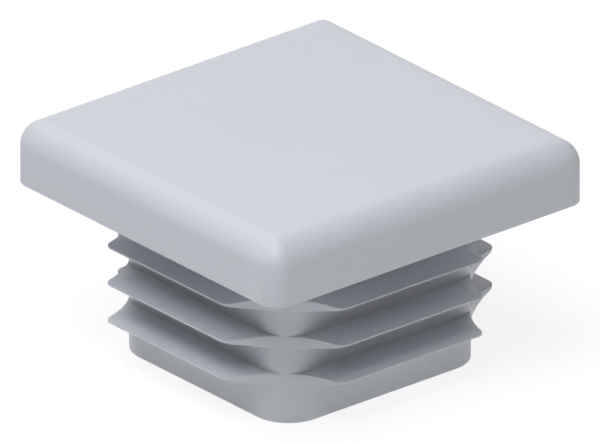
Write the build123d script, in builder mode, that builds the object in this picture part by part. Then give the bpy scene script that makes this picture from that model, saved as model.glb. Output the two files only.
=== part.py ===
from build123d import *
import os
from math import radians, sqrt, tan

# Square tube end cap, moulded in one piece: a rounded head that covers the tube's end, and a
# hollow plug below it with rows of fins that spring against the inside of the tube.
#
# The origin is the centre of the head's underside, the plane that seats on the tube's end.
# +Z points out of the tube through the head, and the plug reaches down along -Z.
# Lengths are in millimetres, angles in degrees.

# The tube that the cap closes
tube_width = 30.0
tube_wall = 2.5

# Head
head_height = 4.95
head_corner_radius = 1.6
head_edge_radius = 2.0

# Plug
plug_clearance = 2.75  # from the plug's side to the inside of the tube
plug_corner_radius = 3.0
plug_wall = 1.75
plug_lead = 4.03  # from the last fin's flat top to the plug's open end

# Core, the hollow inside the plug
core_draft = 1.0
core_least_radius = 0.5  # the smallest upright corner that the core is given
core_roof_radius = 0.5
head_roof = 3.0  # plastic left between the core and the head's top

# Fins, one flap on each side of the plug in every row
fin_rows = 3
fin_first_depth = 2.97  # from the head's underside to the first row's flat top
fin_pitch = 3.0
fin_squeeze = 0.45  # how far the tube's wall pushes a fin's tip in
fin_land = 0.12  # upright edge at a fin's tip
fin_slope = 16.0  # of the underside, which falls towards the plug
fin_tip_radius = 0.9
fin_notch_radius = 7.0  # the hollow curve that parts two flaps at a corner
fin_notch_bite = 0.01  # how far that curve runs into the plug's rounded corner

# Sizes that follow
tube_bore = tube_width - 2 * tube_wall
head_width = tube_width
plug_width = tube_bore - 2 * plug_clearance
plug_depth = fin_first_depth + (fin_rows - 1) * fin_pitch + plug_lead
core_width = plug_width - 2 * plug_wall
core_corner_radius = max(plug_corner_radius - plug_wall, core_least_radius)
core_top = head_height - head_roof
core_depth = plug_depth + core_top
fin_span = tube_bore + 2 * fin_squeeze
fin_reach = (fin_span - plug_width) / 2
fin_foot = plug_wall / 2  # how far a fin's wedge runs on inside the plug's wall
fin_drop = (fin_reach + fin_foot) * tan(radians(fin_slope))
fin_root = fin_land + fin_drop
plug_corner_reach = (plug_width / 2 - plug_corner_radius) * sqrt(2) + plug_corner_radius
fin_notch_reach = plug_corner_reach - fin_notch_bite + fin_notch_radius
fin_notch_spacing = fin_notch_reach * sqrt(2)

os.makedirs("parts", exist_ok=True)

# One row of fins, with its flat top on the XY plane. The wedge follows the plug's outline, so
# its corners are cones. The notches then part it into four flaps with rounded tips.
with BuildPart() as fin_row:
    with BuildSketch(Plane.XY.offset(-fin_root)):
        RectangleRounded(fin_span, fin_span, plug_corner_radius + fin_reach)
    extrude(amount=fin_root)
    underside = fin_row.faces().sort_by(Axis.Z)[0]
    chamfer(underside.edges(), fin_reach + fin_foot, fin_drop, reference=underside)
    with BuildSketch(Plane.XY.offset(-fin_root)) as fin_plan:
        Rectangle(fin_span, fin_span)
        with GridLocations(fin_notch_spacing, fin_notch_spacing, 2, 2):
            Circle(fin_notch_radius, mode=Mode.SUBTRACT)
        fillet(fin_plan.vertices(), fin_tip_radius)
    extrude(amount=fin_root, mode=Mode.INTERSECT)

with BuildPart() as end_cap:
    # Head
    with BuildSketch():
        RectangleRounded(head_width, head_width, head_corner_radius)
    extrude(amount=head_height)
    fillet(end_cap.edges().group_by(Axis.Z)[-1], head_edge_radius)

    # Plug
    with BuildSketch(Plane.XY.offset(-plug_depth)):
        RectangleRounded(plug_width, plug_width, plug_corner_radius)
    extrude(amount=plug_depth)

    # Fins
    for row in range(fin_rows):
        with Locations((0, 0, -fin_first_depth - row * fin_pitch)):
            add(fin_row.part)

    # Core, open at the plug's end and narrowing towards its roof in the head
    with BuildSketch(Plane.XY.offset(-plug_depth)):
        RectangleRounded(core_width, core_width, core_corner_radius)
    extrude(amount=core_depth, taper=core_draft, mode=Mode.SUBTRACT)
    core_roof = end_cap.faces().sort_by_distance((0, 0, core_top))[0]
    fillet(core_roof.edges(), core_roof_radius)

end_cap.part.label = "end_cap"
export_step(end_cap.part, "parts/end_cap.step")
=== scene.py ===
from math import acos, atan2, cos, hypot, pi, radians, sin, sqrt, tan

import bmesh
import bpy
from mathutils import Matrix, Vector

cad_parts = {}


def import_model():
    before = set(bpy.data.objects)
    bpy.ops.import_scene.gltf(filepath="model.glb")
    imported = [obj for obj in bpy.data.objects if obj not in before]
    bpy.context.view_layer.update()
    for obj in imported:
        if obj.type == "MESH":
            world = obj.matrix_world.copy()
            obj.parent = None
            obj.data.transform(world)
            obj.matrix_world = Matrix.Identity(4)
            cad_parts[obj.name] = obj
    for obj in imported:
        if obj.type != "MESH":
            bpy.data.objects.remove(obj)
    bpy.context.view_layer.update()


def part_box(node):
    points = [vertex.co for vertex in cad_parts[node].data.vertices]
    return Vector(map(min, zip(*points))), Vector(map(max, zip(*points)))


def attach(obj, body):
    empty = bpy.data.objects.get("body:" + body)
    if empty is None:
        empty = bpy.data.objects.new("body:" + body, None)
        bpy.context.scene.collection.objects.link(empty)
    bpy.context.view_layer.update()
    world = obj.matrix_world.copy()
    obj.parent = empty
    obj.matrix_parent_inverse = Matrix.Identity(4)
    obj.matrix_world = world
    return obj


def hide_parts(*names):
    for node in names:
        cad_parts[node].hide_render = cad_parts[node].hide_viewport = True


# The square tube end cap, with its moulded surface, on a pale floor in soft light.
#
# Lengths are in metres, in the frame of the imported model: the origin is the centre of the
# head's underside, and +Z points up through the head.

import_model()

MM = 0.001

# Sizes of the cap. The overall ones come from the frame.
cap_low, cap_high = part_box("end_cap")
HEAD_HALF = cap_high.x
HEAD_TOP = cap_high.z
PLUG_BOTTOM = cap_low.z
HEAD_CORNER = 1.6 * MM
HEAD_EDGE = 2.0 * MM
PLUG_HALF = 9.75 * MM
PLUG_CORNER = 3.0 * MM
FIN_HALF = 12.95 * MM
FIN_TOPS = [-2.97 * MM, -5.97 * MM, -8.97 * MM]
FIN_LAND = 0.12 * MM
FIN_SLOPE = radians(16)
FIN_TIP = 0.9 * MM
NOTCH_RADIUS = 7.0 * MM
NOTCH_BITE = 0.01 * MM
CORE_HALF = 8.0 * MM
CORE_CORNER = 1.25 * MM
CORE_TOP = 1.95 * MM
CORE_DRAFT = radians(1)
CORE_ROOF_EDGE = 0.5 * MM

# Tiny rounds that a mould leaves on the outer edges
SEAT_ROUND = 0.06 * MM
FIN_ROUND = 0.03 * MM
RIM_ROUND = 0.1 * MM

# How finely the surface is divided
TOP_STEPS = 4
TOP_INSET = 0.6  # from the head's side to the innermost ring, as a share of the way to the middle
SEAT_BAND = 3 * SEAT_ROUND  # from the head's side to the end of the flat band inside the round
SIDE_STEPS = 14
TIP_STEPS = 6
NOTCH_STEPS = 18
CORNER_STEPS = 8
EDGE_STEPS = 16
ROUND_STEPS = 3
MERGE = 1e-8
SHARP_TURN = radians(40)

# Plastic
PLASTIC_DARK = (0.585, 0.598, 0.628)
PLASTIC_LIGHT = (0.613, 0.626, 0.656)
PLASTIC_SPECULAR = 0.5
CLOUD_SIZE = 6 * MM
CLOUD_DETAIL = 3
ROUGHNESS = (0.40, 0.50)
GRAIN_SIZE = 0.12 * MM
GRAIN_DETAIL = 2
GRAIN_DEPTH = 0.002 * MM

# Floor and light. Part of the light that reaches the cap from below comes off the floor near it,
# where the cap's own shadow lies, and the rest from the white table farther away, which is
# brightest a little below the horizon.
FLOOR_SIZE = 2
FLOOR_LIT = 0.22
FLOOR_PLAIN = 0.84
FLOOR_BOUNCE = 0.35
FLOOR_WHITE = 0.9
TABLE_GLOW = 1.38
TABLE_COLOR = (0.98, 1.0, 1.035)
GLOW_STARTS = -0.05
GLOW_FULL = -0.3

# Lamps, each with its azimuth and height in degrees and its power in watts
LAMPS = [
    ("key", 8, 69, 1.13),
    ("high_right", 46, 63, 0.47),
    ("left", 268, 45, 0.29),
    ("low_left", 310, 25, 0.05),
    ("right", 75, 25, 0.085),
    ("back", 215, 25, 0.07),
]
LAMP_AWAY = 0.4
LAMP_SIZE = 0.3
LAMP_COLOR = (0.98, 1.0, 1.035)

# Camera, with its azimuth and height in degrees
CAMERA_TURN = 50
CAMERA_RISE = 25
CAMERA_WIDTH = 43.9024 * MM
CAMERA_AWAY = 0.3
CAMERA_TARGET = Vector((0, 0, -2.517 * MM))


def steps(first, last, count):
    """count + 1 evenly spaced numbers from first to last."""
    return [first + (last - first) * i / count for i in range(count + 1)]


def arc(radius, first, last, count):
    """A quarter round in section, as points that each lie so far in from the side and so far from
    the flat face. A turn of 0 is on the side and one of pi / 2 on the face."""
    turns = steps(first, last, count)
    return [(radius * (1 - cos(turn)), radius * (1 - sin(turn))) for turn in turns]


def spokes():
    """Where the outline is sampled, all round. A spoke starts at (ax, ay), on the square through
    the centres of the corners with its half side as 1, and points out along (nx, ny). The last
    number is how far the fin stands out of the plug there."""
    centre = PLUG_HALF - PLUG_CORNER
    corner_reach = centre * sqrt(2) + PLUG_CORNER
    notch = (corner_reach - NOTCH_BITE + NOTCH_RADIUS) / sqrt(2)
    tip_y = FIN_HALF - FIN_TIP
    tip_x = notch - sqrt((NOTCH_RADIUS + FIN_TIP) ** 2 - (notch - tip_y) ** 2)
    tip_end = atan2(notch - tip_y, notch - tip_x)

    # One eighth, from the middle of the +Y side to the +X +Y corner, as points of the fin
    outline = [(x, FIN_HALF) for x in steps(0, tip_x, SIDE_STEPS // 2)]
    for turn in steps(pi / 2, tip_end, TIP_STEPS)[1:]:
        outline.append((tip_x + FIN_TIP * cos(turn), tip_y + FIN_TIP * sin(turn)))
    away = (notch - centre) * sqrt(2)
    meet = (away**2 + NOTCH_RADIUS**2 - PLUG_CORNER**2) / (2 * away * NOTCH_RADIUS)
    meet_turn = pi / 4 - acos(meet)
    for turn in steps(tip_end, meet_turn, NOTCH_STEPS)[1:]:
        outline.append((notch - NOTCH_RADIUS * cos(turn), notch - NOTCH_RADIUS * sin(turn)))
    eighth = []
    for x, y in outline:
        out_x = max(x - centre, 0)
        out_y = y - centre
        reach = hypot(out_x, out_y)
        fin = max(reach - PLUG_CORNER, 0)
        eighth.append((min(x / centre, 1), 1, out_x / reach, out_y / reach, fin))

    # The rest of the plug's corner, where no fin stands out
    last = atan2(eighth[-1][3], eighth[-1][2])
    for turn in steps(last, pi / 4, CORNER_STEPS // 2)[1:]:
        eighth.append((1, 1, cos(turn), sin(turn), 0))

    # All eight
    mirrored = [(ay, ax, ny, nx, fin) for ax, ay, nx, ny, fin in reversed(eighth[:-1])]
    quarter = eighth + mirrored[:-1]
    whole = []
    for quarters in range(4):
        for ax, ay, nx, ny, fin in quarter:
            for _ in range(quarters):
                ax, ay, nx, ny = ay, -ax, ny, -nx
            whole.append((ax, ay, nx, ny, fin))
    return whole


SPOKES = spokes()


def ring(half, corner, z):
    """The points of a rounded square at height z, one for each spoke."""
    centre = half - corner
    points = []
    for ax, ay, nx, ny, _ in SPOKES:
        points.append((centre * ax + corner * nx, centre * ay + corner * ny, z))
    return points


def fin_ring(inset, drop, top, from_top):
    """The points round a fin's tip, inset from its outline, and drop below its flat top or, where
    from_top is False, above its underside."""
    centre = PLUG_HALF - PLUG_CORNER
    points = []
    for ax, ay, nx, ny, fin in SPOKES:
        reach = max(fin - inset, 0)
        corner = PLUG_CORNER + reach
        under = top - FIN_LAND - tan(FIN_SLOPE) * (FIN_HALF - PLUG_HALF - reach)
        z = top - drop if from_top else under + drop
        points.append((centre * ax + corner * nx, centre * ay + corner * ny, z))
    return points


def cap_rings():
    """Every ring of the cap, from the middle of the top, down the outside and up the core."""
    rings = []

    # Head: the flat top, the large round, the tiny round at the seat, and inside that a narrow
    # flat band, which keeps the round's shading off the rest of the underside
    for inset in steps(HEAD_HALF * TOP_INSET, HEAD_EDGE, TOP_STEPS):
        rings.append(ring(HEAD_HALF - inset, 0, HEAD_TOP))
    for inset, drop in arc(HEAD_EDGE, pi / 2, 0, EDGE_STEPS)[1:]:
        rings.append(ring(HEAD_HALF - inset, max(HEAD_CORNER - inset, 0), HEAD_TOP - drop))
    for inset, lift in arc(SEAT_ROUND, 0, pi / 2, ROUND_STEPS):
        rings.append(ring(HEAD_HALF - inset, HEAD_CORNER - inset, lift))
    rings.append(ring(HEAD_HALF - SEAT_BAND, HEAD_CORNER - SEAT_BAND, 0))

    # Plug and fins
    root = FIN_LAND + tan(FIN_SLOPE) * (FIN_HALF - PLUG_HALF)
    rings.append(ring(PLUG_HALF, PLUG_CORNER, 0))
    for top in FIN_TOPS:
        rings.append(ring(PLUG_HALF, PLUG_CORNER, top))
        for inset, drop in arc(FIN_ROUND, pi / 2, 0, ROUND_STEPS):
            rings.append(fin_ring(inset, drop, top, True))
        for inset, drop in arc(FIN_ROUND, 0, pi / 2, ROUND_STEPS):
            rings.append(fin_ring(inset, drop, top, False))
        rings.append(ring(PLUG_HALF, PLUG_CORNER, top - root))

    # Rim
    for inset, lift in arc(RIM_ROUND, 0, pi / 2, ROUND_STEPS):
        rings.append(ring(PLUG_HALF - inset, PLUG_CORNER - inset, PLUG_BOTTOM + lift))
    for inset, lift in arc(RIM_ROUND, pi / 2, 0, ROUND_STEPS):
        rings.append(ring(CORE_HALF + inset, CORE_CORNER + inset, PLUG_BOTTOM + lift))

    # Core, up to its roof
    for round_inset, drop in arc(CORE_ROOF_EDGE, 0, pi / 2, EDGE_STEPS // 2):
        z = CORE_TOP - drop
        inset = tan(CORE_DRAFT) * (z - PLUG_BOTTOM) + round_inset
        rings.append(ring(CORE_HALF - inset, CORE_CORNER - inset, z))
    return rings


def loft(name, rings):
    """A closed mesh through the rings, with flat faces over the first and last."""
    mesh = bpy.data.meshes.new(name)
    bm = bmesh.new()
    rows = [[bm.verts.new(point) for point in points] for points in rings]
    count = len(SPOKES)
    for upper, lower in zip(rows, rows[1:]):
        for i in range(count):
            j = (i + 1) % count
            bm.faces.new((upper[i], lower[i], lower[j], upper[j]))
    bm.faces.new(rows[0])
    bm.faces.new(rows[-1])
    bmesh.ops.remove_doubles(bm, verts=bm.verts, dist=MERGE)
    bmesh.ops.recalc_face_normals(bm, faces=bm.faces)
    bm.to_mesh(mesh)
    bm.free()
    return mesh


def shade(piece):
    """Smooth shading over the rounds, with the flat faces kept flat and the inner corners sharp."""
    piece.data.shade_smooth()
    piece.data.set_sharp_from_angle(angle=SHARP_TURN)
    weights = piece.modifiers.new("weighted_normals", "WEIGHTED_NORMAL")
    weights.mode = "FACE_AREA"
    weights.keep_sharp = True


def wire(tree, node, *values):
    """Gives a node's inputs, in their order, these numbers or what other nodes put out. Returns
    what the node puts out."""
    for socket, value in zip(node.inputs, values):
        if isinstance(value, (int, float)):
            socket.default_value = value
        else:
            tree.links.new(value, socket)
    return node.outputs[0]


def calculate(tree, operation, *values):
    """What a maths node makes of these values."""
    node = tree.nodes.new("ShaderNodeMath")
    node.operation = operation
    return wire(tree, node, *values)


def mix_shaders(tree, share, first, second):
    """The first shader, with this share of the second."""
    return wire(tree, tree.nodes.new("ShaderNodeMixShader"), share, first, second)


def matt(tree, grey):
    """A matt shader of this grey."""
    node = tree.nodes.new("ShaderNodeBsdfDiffuse")
    node.inputs["Color"].default_value = (grey, grey, grey, 1)
    return node.outputs[0]


def noise(tree, place, size, detail):
    """Soft blotches of this size, from 0 to 1."""
    node = tree.nodes.new("ShaderNodeTexNoise")
    node.inputs["Scale"].default_value = 1 / size
    node.inputs["Detail"].default_value = detail
    tree.links.new(place, node.inputs["Vector"])
    return node.outputs["Fac"]


def plastic():
    """Light bluish grey plastic, satin, with the fine grain of a blasted mould."""
    material = bpy.data.materials.new("moulded_plastic")
    material.use_nodes = True
    tree = material.node_tree
    shader = tree.nodes["Principled BSDF"]
    shader.inputs["Specular IOR Level"].default_value = PLASTIC_SPECULAR
    place = tree.nodes.new("ShaderNodeTexCoord").outputs["Object"]

    # Colour, clouded very faintly as pigment is
    tint = tree.nodes.new("ShaderNodeMix")
    tint.data_type = "RGBA"
    tint.inputs["A"].default_value = (*PLASTIC_DARK, 1)
    tint.inputs["B"].default_value = (*PLASTIC_LIGHT, 1)
    tree.links.new(noise(tree, place, CLOUD_SIZE, CLOUD_DETAIL), tint.inputs["Factor"])
    tree.links.new(tint.outputs["Result"], shader.inputs["Base Color"])

    # Grain, which breaks up the gloss and the light a little
    grain = noise(tree, place, GRAIN_SIZE, GRAIN_DETAIL)
    gloss = tree.nodes.new("ShaderNodeMapRange")
    gloss.inputs["To Min"].default_value = ROUGHNESS[0]
    gloss.inputs["To Max"].default_value = ROUGHNESS[1]
    tree.links.new(grain, gloss.inputs["Value"])
    tree.links.new(gloss.outputs["Result"], shader.inputs["Roughness"])
    bump = tree.nodes.new("ShaderNodeBump")
    bump.inputs["Strength"].default_value = 1
    bump.inputs["Distance"].default_value = GRAIN_DEPTH
    tree.links.new(grain, bump.inputs["Height"])
    tree.links.new(bump.outputs["Normal"], shader.inputs["Normal"])
    return material


def floor():
    """A pale floor that the cap stands on. It shows the cap's shadow to the camera, white apart
    from that, gives back part of the light, and can be seen through from below."""
    bpy.ops.mesh.primitive_plane_add(size=FLOOR_SIZE, location=(0, 0, PLUG_BOTTOM))
    plane = bpy.context.object
    plane.name = "floor"
    plane.visible_glossy = False
    plane.visible_transmission = False
    material = bpy.data.materials.new("floor")
    material.use_nodes = True
    tree = material.node_tree
    tree.nodes.clear()
    plain = tree.nodes.new("ShaderNodeEmission")
    plain.inputs["Strength"].default_value = FLOOR_PLAIN
    add = tree.nodes.new("ShaderNodeAddShader")
    white = wire(tree, add, matt(tree, FLOOR_LIT), plain.outputs[0])
    clear = tree.nodes.new("ShaderNodeBsdfTransparent").outputs[0]
    bounce = mix_shaders(tree, FLOOR_BOUNCE, clear, matt(tree, FLOOR_WHITE))
    ray = tree.nodes.new("ShaderNodeLightPath")
    above = mix_shaders(tree, ray.outputs["Is Camera Ray"], bounce, white)
    side = tree.nodes.new("ShaderNodeNewGeometry")
    both = mix_shaders(tree, side.outputs["Backfacing"], above, clear)
    output = tree.nodes.new("ShaderNodeOutputMaterial")
    tree.links.new(both, output.inputs["Surface"])
    plane.data.materials.append(material)


def world():
    """The table's glow from below the horizon, and a white background for the camera and for the
    gloss to mirror."""
    studio = bpy.data.worlds.new("studio")
    bpy.context.scene.world = studio
    studio.use_nodes = True
    tree = studio.node_tree
    tree.nodes.clear()
    place = tree.nodes.new("ShaderNodeTexCoord")
    split = tree.nodes.new("ShaderNodeSeparateXYZ")
    tree.links.new(place.outputs["Generated"], split.inputs[0])
    height = split.outputs["Z"]

    # From nothing just below the horizon to the full glow farther down
    rise = tree.nodes.new("ShaderNodeMapRange")
    rise.interpolation_type = "SMOOTHSTEP"
    rise.inputs["From Min"].default_value = GLOW_STARTS
    rise.inputs["From Max"].default_value = GLOW_FULL
    tree.links.new(height, rise.inputs["Value"])

    # Fading by the cosine of the height, to nothing straight down
    square = calculate(tree, "MULTIPLY", height, height)
    fade = calculate(tree, "SQRT", calculate(tree, "SUBTRACT", 1, square))
    shape = calculate(tree, "MULTIPLY", rise.outputs["Result"], fade)
    glow = tree.nodes.new("ShaderNodeBackground")
    glow.inputs["Color"].default_value = (*TABLE_COLOR, 1)
    tree.links.new(calculate(tree, "MULTIPLY", shape, TABLE_GLOW), glow.inputs["Strength"])

    white = tree.nodes.new("ShaderNodeBackground")
    white.inputs["Color"].default_value = (1, 1, 1, 1)
    white.inputs["Strength"].default_value = 1
    ray = tree.nodes.new("ShaderNodeLightPath")
    straight = calculate(tree, "MAXIMUM", ray.outputs["Is Camera Ray"], ray.outputs["Is Glossy Ray"])
    seen = calculate(tree, "MAXIMUM", straight, ray.outputs["Is Transmission Ray"])
    both = mix_shaders(tree, seen, glow.outputs[0], white.outputs[0])
    output = tree.nodes.new("ShaderNodeOutputWorld")
    tree.links.new(both, output.inputs["Surface"])


def direction(turn, rise):
    """From the cap towards a place at this azimuth, 0 being in front of the -Y side and 90 of
    the +X side, and at this height above the horizon, both in degrees."""
    turn = radians(turn)
    rise = radians(rise)
    return Vector((sin(turn) * cos(rise), -cos(turn) * cos(rise), sin(rise)))


def aim(thing, back, away):
    """Moves a lamp or camera from its target, where it starts, so far away in this direction,
    and has it look back."""
    thing.location = thing.location + back * away
    thing.rotation_mode = "QUATERNION"
    thing.rotation_quaternion = (-back).to_track_quat("-Z", "Y")


def lamp(name, turn, rise, power):
    """A square soft box that looks at the cap."""
    data = bpy.data.lights.new(name, "AREA")
    data.size = LAMP_SIZE
    data.color = LAMP_COLOR
    data.energy = power
    light = bpy.data.objects.new(name, data)
    bpy.context.scene.collection.objects.link(light)
    aim(light, direction(turn, rise), LAMP_AWAY)


def camera():
    """A parallel view, turned and raised as the photograph's is."""
    data = bpy.data.cameras.new("camera")
    data.type = "ORTHO"
    data.ortho_scale = CAMERA_WIDTH
    view = bpy.data.objects.new("camera", data)
    bpy.context.scene.collection.objects.link(view)
    view.location = CAMERA_TARGET
    aim(view, direction(CAMERA_TURN, CAMERA_RISE), CAMERA_AWAY)
    bpy.context.scene.camera = view


def main():
    cap = bpy.data.objects.new("cap_surface", loft("cap_surface", cap_rings()))
    bpy.context.scene.collection.objects.link(cap)
    shade(cap)
    cap.data.materials.append(plastic())
    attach(cap, "root")
    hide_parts("end_cap")

    floor()
    world()
    for name, turn, rise, power in LAMPS:
        lamp(name, turn, rise, power)
    camera()
    bpy.context.scene.view_settings.view_transform = "Standard"


main()
